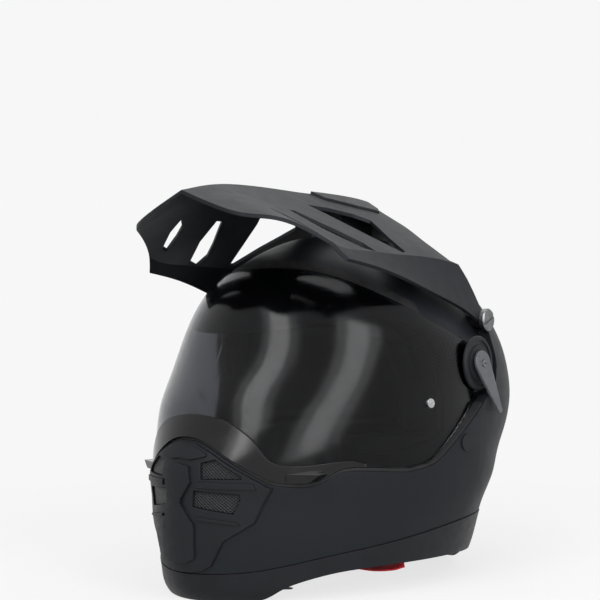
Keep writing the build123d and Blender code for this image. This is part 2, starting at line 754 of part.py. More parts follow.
def make_chin_foam():
    foam = skin(-wall - foam_gap) & chin_box(chin_foam_half_width, chin_foam_bottom, chin_foam_top)
    foam -= skin(-wall - foam_gap - chin_foam_thickness)
    pocket = skin_layer(-wall - 2 * shutter_gap - shutter_thickness, -wall)
    lowest = shutter_bottom - shutter_travel - shutter_room
    foam -= pocket & chin_box(shutter_half_width + shutter_room, lowest, shutter_top + shutter_room / 2)
    foam -= lower_vent_holes()
    foam -= shutter_tab(2 * part_gap, shutter_travel)
    return foam - recess(wall + foam_gap)


neck_roll_front = 50
neck_roll_thickness = 24
neck_roll_bottom = 22


def make_neck_roll():
    layer = skin_layer(-wall - foam_gap - neck_roll_thickness, -wall - foam_gap)
    depth = 2 * rear_reach
    height = crown_base - part_gap - neck_roll_bottom
    block = Box(2 * shell_half_width, depth, height)
    return layer & (Pos(0, neck_roll_front + depth / 2, neck_roll_bottom + height / 2) * block)


curtain_thickness = 1.6
curtain_level = 8
curtain_rear = -138


def make_chin_curtain():
    inside = skin(-wall - part_gap)
    depth = 2 * chin_reach
    slab = Box(2 * shell_half_width, depth, curtain_thickness)
    return inside & (Pos(0, curtain_rear - depth / 2, curtain_level) * slab)


deflector_half_width = 34
deflector_height = 20


def make_breath_deflector():
    outer = -wall - foam_gap - chin_foam_thickness / 2
    layer = skin_layer(outer - visor_thickness, outer)
    block = Box(2 * deflector_half_width, 2 * chin_reach, deflector_height)
    block = fillet(block.edges().filter_by(Axis.Y), deflector_height * 0.3)
    return layer & (Pos(0, -chin_reach, chin_foam_top + foam_gap + deflector_height / 2) * block)


# Inner sun visor: a curved strip turned round the hinge line, shown raised
sun_visor_start = 15
sun_visor_sweep = 28
sun_visor_travel = 28
sun_visor_room_angle = 4
sun_visor_room_gap = 1.5
sun_visor_roundness = 2.0
sun_ear_radius = 9


def turned_strip(half_width, radius, thickness, start, sweep):
    """Strip of revolution about the hinge line, from start degrees above the front over sweep."""
    steps = 12
    inner_radius, inner_half = radius - thickness, half_width - thickness

    def bow(reach, half):
        points = []
        for i in range(-steps, steps + 1):
            angle = math.pi / 2 * i / steps
            x = half * math.copysign(abs(math.sin(angle)) ** (2 / sun_visor_roundness), angle)
            r = reach * math.cos(angle) ** (2 / sun_visor_roundness) if abs(i) < steps else 0
            points.append((x, r))
        return points
    outer, inner = bow(radius, half_width), bow(inner_radius, inner_half)
    face = make_face([Spline(*outer), Line(outer[-1], inner[-1]), Spline(*inner[::-1]),
                      Line(inner[0], outer[0])])
    axis = Axis((0, 0, 0), (1, 0, 0))
    strip = revolve(Plane.XY * face, axis, sweep)
    # The face stands toward +Y, so it is turned to the front and then up
    return Pos(0, pivot_y, pivot_z) * Rot(180 - start - sweep, 0, 0) * strip


def sun_visor_room():
    """Space that the raised sun visor and its arms pass through."""
    grown = sun_visor_room_gap
    strip = turned_strip(sun_visor_half_width + grown, sun_visor_radius + grown,
                         sun_visor_thickness + 2 * grown,
                         sun_visor_start - sun_visor_travel - sun_visor_room_angle,
                         sun_visor_sweep + sun_visor_travel + 2 * sun_visor_room_angle)
    inner_x = sun_visor_half_width - sun_visor_thickness - 2 * grown
    outer_x = sun_visor_half_width + grown
    ears = [across(sun_ear_radius + 2 * grown, side * inner_x, side * outer_x) for side in (1, -1)]
    return strip + ears


def make_sun_visor():
    strip = turned_strip(sun_visor_half_width, sun_visor_radius, sun_visor_thickness,
                         sun_visor_start, sun_visor_sweep)
    for side in (1, -1):
        strip += across(sun_ear_radius, side * (sun_visor_half_width - sun_visor_thickness),
                        side * sun_visor_half_width)
    return strip


def make_sun_visor_shaft():
    return across(shaft_radius, sun_visor_half_width + fit_gap, lever_x - shaft_end_gap)


def make_sun_visor_pin():
    return mirror(across(shaft_radius, sun_visor_half_width + fit_gap, cover_x - fit_gap), about=Plane.YZ)


# Chin strap: two webbing halves, a buckle with a release lever and a red pull tab
strap_width = 22
strap_thickness = 1.6
strap_y = -45
strap_shares = [(0.6835, 0.2296), (0.663, 0.1778), (0.6409, 0.1407), (0.622, 0.1037),
                (0.5669, 0.0741), (0.4567, 0.0574), (0.1488, 0.0481)]
buckle_length = 36
buckle_margin = 4
buckle_height = 5
buckle_level = 13
release_length = 24
release_thickness = 1.8
release_level = 9.3
red_tab_width = 16
red_tab_thickness = 1.4
red_tab_shares = [(0.1024, 0.0348), (0.3543, 0.037), (0.5197, 0.0481), (0.6772, 0.0704)]


def webbing(points, width, thickness):
    """Flat band through front-view points."""
    line = Polyline(*points)
    face = offset(line, thickness / 2, kind=Kind.INTERSECTION, side=Side.BOTH)
    band = extrude(Plane.XZ * make_face(face), amount=width / 2, both=True)
    return Pos(0, strap_y, 0) * band


def make_strap_left():
    return webbing(front_outline(strap_shares), strap_width, strap_thickness)


def make_red_tab():
    return webbing(front_outline(red_tab_shares), red_tab_width, red_tab_thickness)


def make_buckle_release():
    plate = Box(release_length, strap_width, release_thickness)
    plate = fillet(plate.edges().filter_by(Axis.Z), strap_thickness)
    return Pos(0, strap_y, release_level) * plate


def make_strap_right():
    return mirror(make_strap_left(), about=Plane.YZ)


def make_buckle():
    block = Box(buckle_length - 2 * part_gap, strap_width + buckle_margin, buckle_height)
    block = fillet(block.edges().filter_by(Axis.Z), strap_thickness)
    return Pos(0, strap_y, buckle_level) * block


nodes = {
    "outer_shell": make_outer_shell(),
    "bottom_trim": make_bottom_trim(),
    "eyeport_gasket": make_eyeport_gasket(),
    "brow_gasket": make_brow_gasket(),
    "face_visor": make_face_visor(),
    "visor_rim": make_visor_rim(),
    "visor_tabs": pair(make_visor_tab()),
    "lens_pins": pair(make_lens_pin()),
    "pivot_hubs": pair(make_pivot_hub()),
    "pivot_covers": pair(make_pivot_cover()),
    "pivot_cap": make_pivot_cap(),
    "sun_visor_lever": make_lever(),
    "lever_screw": make_lever_screw(),
    "chin_guard": make_chin_guard(),
    "chin_centre_plate": make_centre_plate(),
    "nose_panel": make_nose_panel(),
    "chin_ribs": make_chin_ribs(),
    "vent_meshes": make_vent_meshes(),
    "side_plugs": make_side_plugs(),
    "peak": make_peak(),
    "peak_outlet": make_peak_outlet(),
    "peak_screws": pair(make_peak_screw()),
    "peak_bosses": pair(make_peak_boss()),
    "peak_duct": make_peak_duct(),
    "crown_foam": make_crown_foam(),
    "comfort_liner": make_comfort_liner(),
    "cheek_foams": pair(make_cheek_foam()),
    "cheek_pad_left": make_cheek_pad(),
    "cheek_pad_right": mirror(make_cheek_pad(), about=Plane.YZ),
    "chin_foam": make_chin_foam(),
    "chin_shutter": make_chin_shutter(),
    "neck_roll": make_neck_roll(),
    "chin_curtain": make_chin_curtain(),
    "breath_deflector": make_breath_deflector(),
    "sun_visor": make_sun_visor(),
    "sun_visor_shaft": make_sun_visor_shaft(),
    "sun_visor_pin": make_sun_visor_pin(),
    "strap_left": make_strap_left(),
    "strap_right": make_strap_right(),
    "buckle": make_buckle(),
    "buckle_release": make_buckle_release(),
    "red_tab": make_red_tab(),
}

os.makedirs("parts", exist_ok=True)
for name, shape in nodes.items():
    shapes = shape if isinstance(shape, list) else [shape]
    solids = [Pos(0, frame_shift, 0) * solid for item in shapes for solid in item.solids()]
    export_step(solids[0] if len(solids) == 1 else Compound(solids), f"parts/{name}.step")
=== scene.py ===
import math

import bmesh
import bpy
from bpy.props import FloatProperty, FloatVectorProperty, IntProperty, PointerProperty
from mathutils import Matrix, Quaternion, Vector


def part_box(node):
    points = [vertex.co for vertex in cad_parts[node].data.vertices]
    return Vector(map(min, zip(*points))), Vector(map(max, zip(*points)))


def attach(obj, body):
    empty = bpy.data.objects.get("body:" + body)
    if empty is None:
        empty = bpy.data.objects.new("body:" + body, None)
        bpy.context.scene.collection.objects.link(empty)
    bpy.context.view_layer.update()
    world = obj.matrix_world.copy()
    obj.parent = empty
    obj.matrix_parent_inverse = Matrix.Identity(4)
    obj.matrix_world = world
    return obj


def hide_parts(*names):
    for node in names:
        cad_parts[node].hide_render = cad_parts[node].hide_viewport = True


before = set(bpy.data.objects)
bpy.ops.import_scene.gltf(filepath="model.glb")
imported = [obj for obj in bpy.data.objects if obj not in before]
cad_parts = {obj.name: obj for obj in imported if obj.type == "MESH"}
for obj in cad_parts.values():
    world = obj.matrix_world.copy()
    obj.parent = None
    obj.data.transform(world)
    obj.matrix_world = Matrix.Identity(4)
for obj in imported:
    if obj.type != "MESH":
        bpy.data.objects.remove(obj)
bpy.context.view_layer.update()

bl_info = {
    "name": "Dual Sport Helmet",
    "version": (1, 0, 0),
    "blender": (4, 5, 0),
    "location": "3D View > Sidebar > Helmet",
    "description": "Finishes, soft lining, straps and studio for a full-face dual sport helmet",
    "category": "Object",
}

MM = 0.001


def rgb(hex_code):
    """Linear colour with alpha from an sRGB hex value."""
    channels = [int(hex_code[i:i + 2], 16) / 255 for i in (1, 3, 5)]
    return tuple(c / 12.92 if c <= 0.04045 else ((c + 0.055) / 1.055) ** 2.4 for c in channels) + (1.0,)


def colour(hex_code, name, description):
    """Colour property with its default given as a hex value."""
    return FloatVectorProperty(name=name, description=description, subtype="COLOR", size=4,
                               min=0, max=1, default=rgb(hex_code))


def length(value, name, description):
    """Length property in metres."""
    return FloatProperty(name=name, description=description, subtype="DISTANCE", unit="LENGTH",
                         precision=5, default=value)


class HelmetFinish(bpy.types.PropertyGroup):
    lacquer: colour("#16191d", "Lacquer", "Matt black lacquer of the shell and the peak")
    moulding: colour("#141519", "Moulding", "Grained black plastic of the rim, chin and covers")
    gloss: colour("#0c0c0e", "Gloss black", "Polished black plastic of the visor's rim and the buckle")
    rubber: colour("#101012", "Rubber", "Gaskets round the eye port")
    lever: colour("#45474b", "Lever", "Satin grey plastic of the sun visor's lever")
    steel: colour("#b9babb", "Steel", "Pins and the buckle's release")
    alloy: colour("#727375", "Alloy", "Screws of the peak")
    smoke: colour("#85878c", "Smoke tint", "What one wall of the face visor lets through")
    sun_tint: colour("#54555c", "Sun tint", "What one wall of the sun visor lets through")
    bead_foam: colour("#1a1b1d", "Bead foam", "Moulded black foam of the impact layers")


class HelmetLining(bpy.types.PropertyGroup):
    cloth: colour("#232529", "Cloth", "Brushed jersey of the pads and the liner")
    # Lighter tone of the raised threads: a painted highlight, set against painted shade in the knit's hollows
    cloth_raised_highlight: colour("#34373c", "Cloth, raised", "Colour of the jersey's raised threads")
    voxel: length(0.0045, "Remesh size", "Edge length of the even mesh that is inflated")
    inset: length(0.0022, "Inset", "How far a pad is drawn in before it swells")
    swell: length(0.0030, "Swell", "How far a point of a pad may move as it swells")
    pressure: FloatProperty(name="Pressure", description="Filling pressure of the pads", default=4.0, min=0)
    steps: IntProperty(name="Steps", description="Frames for which the pads swell", default=20, min=2)
    channel_depth: length(0.0022, "Channel depth", "Depth of the sewn channels")
    channel_width: length(0.0032, "Channel width", "Half width of the sewn channels")


class HelmetStraps(bpy.types.PropertyGroup):
    webbing: colour("#141416", "Webbing", "Black woven polyester of the chin strap")
    pull_red: colour("#f2303e", "Pull tab", "Red woven polyester of the buckle's pull tab")
    pull_stripe: colour("#e4e4e2", "Stripe", "White stripe woven into the pull tab")
    strap_width: length(0.022, "Strap width", "Width of the chin strap")
    strap_thickness: length(0.0016, "Strap thickness", "Thickness of the chin strap")
    tab_width: length(0.016, "Tab width", "Width of the pull tab")
    tab_thickness: length(0.0014, "Tab thickness", "Thickness of the pull tab")
    tab_twist: FloatProperty(name="Tab twist", default=60.0,
                             description="Degrees that the pull tab's free end has turned forward")


class HelmetStage(bpy.types.PropertyGroup):
    paper: colour("#f7f7f7", "Paper", "Pale floor and backdrop")
    lens: FloatProperty(name="Lens", description="Focal length of the camera in millimetres",
                        subtype="DISTANCE_CAMERA", default=67.74)
    key_power: FloatProperty(name="Overhead light", description="Watts of the large light above",
                             subtype="POWER", default=9.0)
    side_power: FloatProperty(name="Side light", description="Watts of the tall lights at the sides",
                              subtype="POWER", default=6.0)
    world_level: FloatProperty(name="World level", default=0.25,
                               description="Brightness of the surrounding room")


# ---- Node and material helpers


def add_node(tree, kind, inputs=None, **settings):
    """Add one node, apply its settings, and set or link its inputs."""
    node = tree.nodes.new(kind)
    for key, value in settings.items():
        setattr(node, key, value)
    for key, value in (inputs or {}).items():
        if isinstance(value, bpy.types.NodeSocket):
            tree.links.new(value, node.inputs[key])
        else:
            node.inputs[key].default_value = value
    return node


def start_material(name, **values):
    """Empty material with one shader; values go straight onto its sockets."""
    material = bpy.data.materials.new(name)
    material.use_nodes = True
    tree = material.node_tree
    shader = next(n for n in tree.nodes if n.type == "BSDF_PRINCIPLED")
    for key, value in values.items():
        shader.inputs[key.replace("_", " ")].default_value = value
    place = add_node(tree, "ShaderNodeTexCoord").outputs["Object"]
    return material, tree, shader, place


def set_ramp(ramp, *stops):
    """Set a colour ramp's stops, each a position and a colour."""
    for element, (position, value) in zip(ramp.color_ramp.elements, stops):
        element.position, element.color = position, value


def mottle(tree, shader, place, low, high, size):
    """Blend of two close tones in soft patches of the given size in metres."""
    patches = add_node(tree, "ShaderNodeTexNoise", {"Vector": place, "Scale": 1 / size, "Detail": 3.0})
    ramp = add_node(tree, "ShaderNodeValToRGB", {"Fac": patches.outputs["Fac"]})
    set_ramp(ramp, (0.35, low), (0.65, high))
    tree.links.new(ramp.outputs["Color"], shader.inputs["Base Color"])


def sheen_spread(tree, shader, place, low, high, size):
    """Roughness that wanders between two values in patches of the given size."""
    patches = add_node(tree, "ShaderNodeTexNoise", {"Vector": place, "Scale": 1 / size, "Detail": 4.0})
    spread = add_node(tree, "ShaderNodeMapRange", {"Value": patches.outputs["Fac"], "From Min": 0.3,
                                                    "From Max": 0.7, "To Min": low, "To Max": high})
    tree.links.new(spread.outputs["Result"], shader.inputs["Roughness"])


def relief(tree, shader, height, depth, strength=1.0, rounding=0.0):
    """Bump from a height, over edges rounded by a small radius where one is given."""
    inputs = {"Height": height, "Distance": depth, "Strength": strength}
    if rounding:
        bevel = add_node(tree, "ShaderNodeBevel", {"Radius": rounding}, samples=4)
        inputs["Normal"] = bevel.outputs["Normal"]
    bump = add_node(tree, "ShaderNodeBump", inputs)
    tree.links.new(bump.outputs["Normal"], shader.inputs["Normal"])


def shade(value, factor):
    """The same colour, lighter or darker."""
    return tuple(min(1.0, c * factor) for c in value[:3]) + (1.0,)


def matt_lacquer(finish):
    """Sprayed matt polyurethane lacquer: a soft, even surface with a very fine orange peel."""
    material, tree, shader, place = start_material("matt_polyurethane_lacquer", Specular_IOR_Level=0.14)
    mottle(tree, shader, place, shade(finish.lacquer, 0.94), shade(finish.lacquer, 1.07), 45 * MM)
    sheen_spread(tree, shader, place, 0.46, 0.53, 12 * MM)
    # Orange peel is about 1 mm across; it is drawn at 1.4 mm so that it shows
    peel = add_node(tree, "ShaderNodeTexNoise", {"Vector": place, "Scale": 1 / (1.4 * MM), "Detail": 2.0})
    relief(tree, shader, peel.outputs["Fac"], 0.03 * MM, 0.2, 0.8 * MM)
    return material


def grained_abs(finish):
    """Injection-moulded ABS with a spark-eroded grain: dull, with tiny glints on its edges."""
    material, tree, shader, place = start_material("grained_abs", Specular_IOR_Level=0.18)
    mottle(tree, shader, place, shade(finish.moulding, 0.9), shade(finish.moulding, 1.12), 18 * MM)
    sheen_spread(tree, shader, place, 0.42, 0.54, 6 * MM)
    # The real grain is about 0.3 mm; it is drawn at 1.1 mm so that it shows
    grain = add_node(tree, "ShaderNodeTexVoronoi", {"Vector": place, "Scale": 1 / (1.1 * MM)})
    relief(tree, shader, grain.outputs["Distance"], 0.08 * MM, 0.45, 0.6 * MM)
    return material


def polished_abs(finish):
    """Polished black ABS: clear, dark reflections with faint rubbing marks."""
    material, tree, shader, place = start_material("polished_abs", Specular_IOR_Level=0.3)
    mottle(tree, shader, place, shade(finish.gloss, 0.85), shade(finish.gloss, 1.2), 22 * MM)
    sheen_spread(tree, shader, place, 0.12, 0.2, 9 * MM)
    marks = add_node(tree, "ShaderNodeTexNoise", {"Vector": place, "Scale": 1 / (2.5 * MM), "Detail": 1.0})
    relief(tree, shader, marks.outputs["Fac"], 0.02 * MM, 0.3, 0.5 * MM)
    return material


def gasket_rubber(finish):
    """Extruded EPDM rubber: dull black with a faint bloom."""
    material, tree, shader, place = start_material("epdm_rubber", Specular_IOR_Level=0.35)
    mottle(tree, shader, place, shade(finish.rubber, 0.85), shade(finish.rubber, 1.5), 9 * MM)
    sheen_spread(tree, shader, place, 0.6, 0.75, 5 * MM)
    skin = add_node(tree, "ShaderNodeTexNoise", {"Vector": place, "Scale": 1 / (1.2 * MM), "Detail": 2.0})
    relief(tree, shader, skin.outputs["Fac"], 0.06 * MM, 0.5, 0.5 * MM)
    return material


def satin_nylon(finish):
    """Glass-filled nylon with a satin face: mid grey with fine flow marks."""
    material, tree, shader, place = start_material("glass_filled_nylon", Specular_IOR_Level=0.5)
    mottle(tree, shader, place, shade(finish.lever, 0.9), shade(finish.lever, 1.1), 7 * MM)
    sheen_spread(tree, shader, place, 0.32, 0.42, 4 * MM)
    flow = add_node(tree, "ShaderNodeTexNoise", {"Vector": place, "Scale": 1 / (1.0 * MM), "Detail": 2.0})
    relief(tree, shader, flow.outputs["Fac"], 0.04 * MM, 0.4, 0.5 * MM)
    return material


def turned_metal(name, tone, low, high):
    """Lathe-turned metal: a fine, even relief catches the light."""
    material, tree, shader, place = start_material(name, Metallic=1.0)
    mottle(tree, shader, place, shade(tone, 0.82), shade(tone, 1.1), 4 * MM)
    sheen_spread(tree, shader, place, low, high, 2 * MM)
    rings = add_node(tree, "ShaderNodeTexNoise", {"Vector": place, "Scale": 1 / (0.9 * MM), "Detail": 2.0})
    relief(tree, shader, rings.outputs["Fac"], 0.03 * MM, 0.4, 0.4 * MM)
    return material


def tinted_polycarbonate(name, tint, roughness):
    """Tinted polycarbonate under a hard coat that reflects little: dark, soft-edged, faintly wiped."""
    material, tree, shader, place = start_material(name, Transmission_Weight=1.0, IOR=1.25)
    shader.inputs["Base Color"].default_value = tint
    wipe = add_node(tree, "ShaderNodeTexNoise", {"Vector": place, "Scale": 1 / (30 * MM), "Detail": 5.0})
    spread = add_node(tree, "ShaderNodeMapRange", {"Value": wipe.outputs["Fac"], "From Min": 0.45,
                                                    "From Max": 0.8, "To Min": roughness,
                                                    "To Max": roughness + 0.03})
    tree.links.new(spread.outputs["Result"], shader.inputs["Roughness"])
    return material


def expanded_foam(finish):
    """Expanded polystyrene: fused black beads with fine dark joints."""
    material, tree, shader, place = start_material("expanded_polystyrene", Specular_IOR_Level=0.3)
    beads = add_node(tree, "ShaderNodeTexVoronoi", {"Vector": place, "Scale": 1 / (3.2 * MM)},
                     feature="DISTANCE_TO_EDGE")
    ramp = add_node(tree, "ShaderNodeValToRGB", {"Fac": beads.outputs["Distance"]})
    set_ramp(ramp, (0.0, shade(finish.bead_foam, 0.55)), (0.12, shade(finish.bead_foam, 1.15)))
    tree.links.new(ramp.outputs["Color"], shader.inputs["Base Color"])
    sheen_spread(tree, shader, place, 0.5, 0.7, 3 * MM)
    relief(tree, shader, ramp.outputs["Color"], 0.3 * MM, 0.6, 1.0 * MM)
    return material


def vent_gauze(finish):
    """Moulded nylon gauze: a square grid of strands over holes, whose shade is painted near black."""
    material, tree, shader, place = start_material("nylon_gauze", Roughness=0.5, Specular_IOR_Level=0.4)
    # Strands run diagonally, about 2.2 mm apart
    split = add_node(tree, "ShaderNodeSeparateXYZ", {"Vector": place})
    pitch = 2 * math.pi / (2.2 * MM)
    strands = []
    for sign in (1.0, -1.0):
        run = add_node(tree, "ShaderNodeMath", {0: split.outputs["Z"], 1: sign}, operation="MULTIPLY")
        lean = add_node(tree, "ShaderNodeMath", {0: run.outputs[0], 1: split.outputs["X"]}, operation="ADD")
        phase = add_node(tree, "ShaderNodeMath", {0: lean.outputs[0], 1: pitch}, operation="MULTIPLY")
        strands.append(add_node(tree, "ShaderNodeMath", {0: phase.outputs[0]}, operation="SINE").outputs[0])
    grid = add_node(tree, "ShaderNodeMath", {0: strands[0], 1: strands[1]}, operation="MAXIMUM")
    # The holes between the strands are painted near black: painted shade of the vent behind them
    ramp = add_node(tree, "ShaderNodeValToRGB", {"Fac": grid.outputs[0]})
    set_ramp(ramp, (0.45, rgb("#040405")), (0.75, shade(finish.moulding, 1.6)))
    tree.links.new(ramp.outputs["Color"], shader.inputs["Base Color"])
    relief(tree, shader, grid.outputs[0], 0.5 * MM, 0.8)
    return material


def brushed_jersey(lining):
    """Brushed polyester jersey: a dull open knit whose raised fibres glow softly at the edge; its colour has
    painted shade in the knit's hollows and a painted highlight on its raised threads.
    """
    material, tree, shader, place = start_material("brushed_polyester_jersey", Roughness=0.9,
                                                   Specular_IOR_Level=0.2, Sheen_Weight=0.35,
                                                   Sheen_Roughness=0.5)
    # The knit's cells are about 1.2 mm; they are drawn at 2.4 mm so that they show
    cells = add_node(tree, "ShaderNodeTexVoronoi", {"Vector": place, "Scale": 1 / (2.4 * MM)})
    fibres = add_node(tree, "ShaderNodeTexNoise", {"Vector": place, "Scale": 1 / (0.9 * MM), "Detail": 3.0})
    height = add_node(tree, "ShaderNodeMath", {0: cells.outputs["Distance"], 1: fibres.outputs["Fac"]},
                      operation="MULTIPLY")
    # Colour follows the knit's height: painted shade in its hollows, a painted highlight on its raised
    # threads
    ramp = add_node(tree, "ShaderNodeValToRGB", {"Fac": height.outputs[0]})
    set_ramp(ramp, (0.08, lining.cloth[:]), (0.38, lining.cloth_raised_highlight[:]))
    tree.links.new(ramp.outputs["Color"], shader.inputs["Base Color"])
    relief(tree, shader, height.outputs[0], 0.5 * MM, 0.7)
    return material


def woven_webbing(name, body_tone, stripe=None, stripe_middle=0.0, stripe_half=0.0, painted_groove_shade=0.6):
    """Woven polyester webbing: tight diagonal ribs, dull, with a lighter stripe where one is given.

    Painted shade darkens the grooves between the ribs to the given share of the yarn's brightness, and a
    painted highlight lightens the ribs' crests.
    """
    material, tree, shader, place = start_material(name, Roughness=0.75, Specular_IOR_Level=0.3,
                                                   Sheen_Weight=0.2, Sheen_Roughness=0.4)
    split = add_node(tree, "ShaderNodeSeparateXYZ", {"Vector": place})
    # Ribs run across the band, 1.5 mm apart, in a herringbone that turns every 5 mm
    turn = add_node(tree, "ShaderNodeMath", {0: split.outputs["Y"], 1: 5 * MM}, operation="PINGPONG")
    along = add_node(tree, "ShaderNodeMath", {0: split.outputs["X"], 1: split.outputs["Z"]}, operation="ADD")
    lean = add_node(tree, "ShaderNodeMath", {0: along.outputs[0], 1: turn.outputs[0]}, operation="ADD")
    phase = add_node(tree, "ShaderNodeMath", {0: lean.outputs[0], 1: 2 * math.pi / (1.5 * MM)},
                     operation="MULTIPLY")
    ribs = add_node(tree, "ShaderNodeMath", {0: phase.outputs[0]}, operation="SINE")
    # Colour follows the ribs' height: painted shade in the grooves, a painted highlight on the crests
    ramp = add_node(tree, "ShaderNodeValToRGB", {"Fac": ribs.outputs[0]})
    set_ramp(ramp, (0.0, shade(body_tone, painted_groove_shade)), (1.0, shade(body_tone, 1.15)))
    tone = ramp.outputs["Color"]
    if stripe:
        off = add_node(tree, "ShaderNodeMath", {0: split.outputs["Y"], 1: stripe_middle},
                       operation="SUBTRACT")
        away = add_node(tree, "ShaderNodeMath", {0: off.outputs[0]}, operation="ABSOLUTE")
        inside = add_node(tree, "ShaderNodeMath", {0: away.outputs[0], 1: stripe_half}, operation="LESS_THAN")
        mix = add_node(tree, "ShaderNodeMix", {"Factor": inside.outputs[0], 6: tone, 7: stripe},
                       data_type="RGBA")
        tone = mix.outputs[2]
    tree.links.new(tone, shader.inputs["Base Color"])
    relief(tree, shader, ribs.outputs[0], 0.15 * MM, 0.7)
    return material


def finish_nodes(material, *names):
    """Give CAD nodes a material on their objects' slots."""
    for name in names:
        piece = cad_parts[name]
        if not piece.material_slots:
            piece.data.materials.append(material)
        for slot in piece.material_slots:
            slot.link = "OBJECT"
            slot.material = material


# ---- Mesh helpers for the soft pieces


def new_piece(name, mesh, material, body):
    """Object in the scene that rides on a body."""
    piece = bpy.data.objects.new(name, mesh)
    bpy.context.scene.collection.objects.link(piece)
    mesh.materials.clear()
    mesh.materials.append(material)
    for polygon in mesh.polygons:
        polygon.use_smooth = True
    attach(piece, body)
    return piece


def baked(piece, kind, **settings):
    """Mesh of the piece with one modifier applied."""
    modifier = piece.modifiers.new(kind.title(), kind)
    for key, value in settings.items():
        setattr(modifier, key, value)
    evaluated = piece.evaluated_get(bpy.context.evaluated_depsgraph_get())
    mesh = bpy.data.meshes.new_from_object(evaluated)
    piece.modifiers.clear()
    return mesh


def even_copy(name, node, voxel, inset, smooth_turns):
    """Loose object with the node's form: evenly remeshed, drawn in and softened at its edges."""
    piece = bpy.data.objects.new(name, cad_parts[node].data.copy())
    bpy.context.scene.collection.objects.link(piece)
    piece.data = baked(piece, "REMESH", mode="VOXEL", voxel_size=voxel, adaptivity=0.0)
    piece.data = baked(piece, "SMOOTH", factor=0.5, iterations=smooth_turns)
    bpy.context.view_layer.update()
    for vertex, normal in [(v, v.normal.copy()) for v in piece.data.vertices]:
        vertex.co -= normal * inset
    return piece


def swell(piece, pressure, limit, steps):
    """Blow the closed mesh up as cloth over a few frames, and keep each point within a limit."""
    rest = [v.co.copy() for v in piece.data.vertices]
    cloth = piece.modifiers.new("Filling", "CLOTH")
    settings = cloth.settings
    settings.quality = 5
    settings.use_pressure = True
    settings.uniform_pressure_force = pressure
    settings.effector_weights.gravity = 0
    cloth.point_cache.frame_start, cloth.point_cache.frame_end = 1, steps
    for step in range(1, steps + 1):
        bpy.context.scene.frame_set(step)
    shaped = piece.evaluated_get(bpy.context.evaluated_depsgraph_get())
    moved = [v.co.copy() for v in shaped.data.vertices]
    piece.modifiers.clear()
    bpy.context.scene.frame_set(1)
    for vertex, old, new in zip(piece.data.vertices, rest, moved):
        step = new - old
        if step.length > limit:
            step *= limit / step.length
        vertex.co = old + step


def sew_channels(mesh, planes, depth, width):
    """Sink the surface along planes given as (point, normal), as a row of stitches does."""
    normals = [v.normal.copy() for v in mesh.vertices]
    for vertex, normal in zip(mesh.vertices, normals):
        sink = 0.0
        for point, facing in planes:
            distance = abs((vertex.co - Vector(point)).dot(Vector(facing).normalized()))
            sink = max(sink, math.exp(-(distance / width) ** 2))
        vertex.co -= normal * depth * sink


def keep_inside(mesh, node, margin=0.0002):
    """Hold every point within the node's box."""
    low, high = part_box(node)
    for vertex in mesh.vertices:
        for axis in range(3):
            vertex.co[axis] = min(max(vertex.co[axis], low[axis] + margin), high[axis] - margin)


def soft_pad(name, node, lining, material, planes, fill, voxel=None, inset=None, limit=None):
    """Padded fabric piece in the place of a CAD node."""
    piece = even_copy(name, node, voxel or lining.voxel, inset or lining.inset, PAD_SMOOTHING)
    swell(piece, lining.pressure, limit or lining.swell, lining.steps)
    piece.data = baked(piece, "SUBSURF", levels=1, render_levels=1)
    bpy.context.view_layer.update()
    sew_channels(piece.data, planes, lining.channel_depth, lining.channel_width)
    keep_inside(piece.data, node)
    mesh = piece.data
    bpy.data.objects.remove(piece)
    pad = new_piece(name, mesh, material, "helmet")
    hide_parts(node)
    return pad


def smooth_path(points, steps=6):
    """Points along a smooth curve through the given points."""
    ends = [2 * points[0] - points[1], *points, 2 * points[-1] - points[-2]]
    path = []
    for i in range(1, len(ends) - 2):
        a, b, c, d = ends[i - 1:i + 3]
        for step in range(steps):
            t = step / steps
            path.append(0.5 * ((2 * b) + (c - a) * t + (2 * a - 5 * b + 4 * c - d) * t ** 2
                               + (3 * b - a - 3 * c + d) * t ** 3))
    return path + [points[-1]]


def band_mesh(name, points, width, thickness, twist=0.0):
    """Flat woven band along a path in the XZ plane, with rounded selvedges, turning by some degrees."""
    path = smooth_path(points)
    half, thick = width / 2, thickness / 2
    profile = [(-half, 0.0), (-half * 0.97, 0.8), (-half * 0.9, 1.0), (-half * 0.8, 0.82), (0.0, 0.8),
               (half * 0.8, 0.82), (half * 0.9, 1.0), (half * 0.97, 0.8), (half, 0.0)]
    ring = [(y, h * thick) for y, h in profile] + [(y, -h * thick) for y, h in reversed(profile[1:-1])]
    mesh = bmesh.new()
    rows = []
    for i, point in enumerate(path):
        ahead = path[min(i + 1, len(path) - 1)] - path[max(i - 1, 0)]
        up = Vector((-ahead.z, 0, ahead.x)).normalized()
        turn = math.radians(twist) * (i / (len(path) - 1)) ** 2
        across = Vector((0, math.cos(turn), 0)) + up * math.sin(turn)
        facing = up * math.cos(turn) - Vector((0, math.sin(turn), 0))
        rows.append([mesh.verts.new(point + across * y + facing * h) for y, h in ring])
    for first, second in zip(rows, rows[1:]):
        for i in range(len(ring)):
            j = (i + 1) % len(ring)
            mesh.faces.new((first[i], first[j], second[j], second[i]))
    mesh.faces.new(reversed(rows[0]))
    mesh.faces.new(rows[-1])
    bmesh.ops.recalc_face_normals(mesh, faces=mesh.faces)
    data = bpy.data.meshes.new(name)
    mesh.to_mesh(data)
    mesh.free()
    return data


# The strap hangs in one plane across the helmet. Its routes are points (x, z) from one end to the other
STRAP_Y = -0.0205
STRAP_ROUTE = [(0.0868, 0.062), (0.0842, 0.048), (0.0814, 0.038), (0.079, 0.028), (0.072, 0.020),
               (0.058, 0.0155), (0.0189, 0.013)]
TAB_ROUTE = [(0.013, 0.0090), (0.042, 0.0088), (0.064, 0.0100), (0.080, 0.0142), (0.087, 0.0186)]


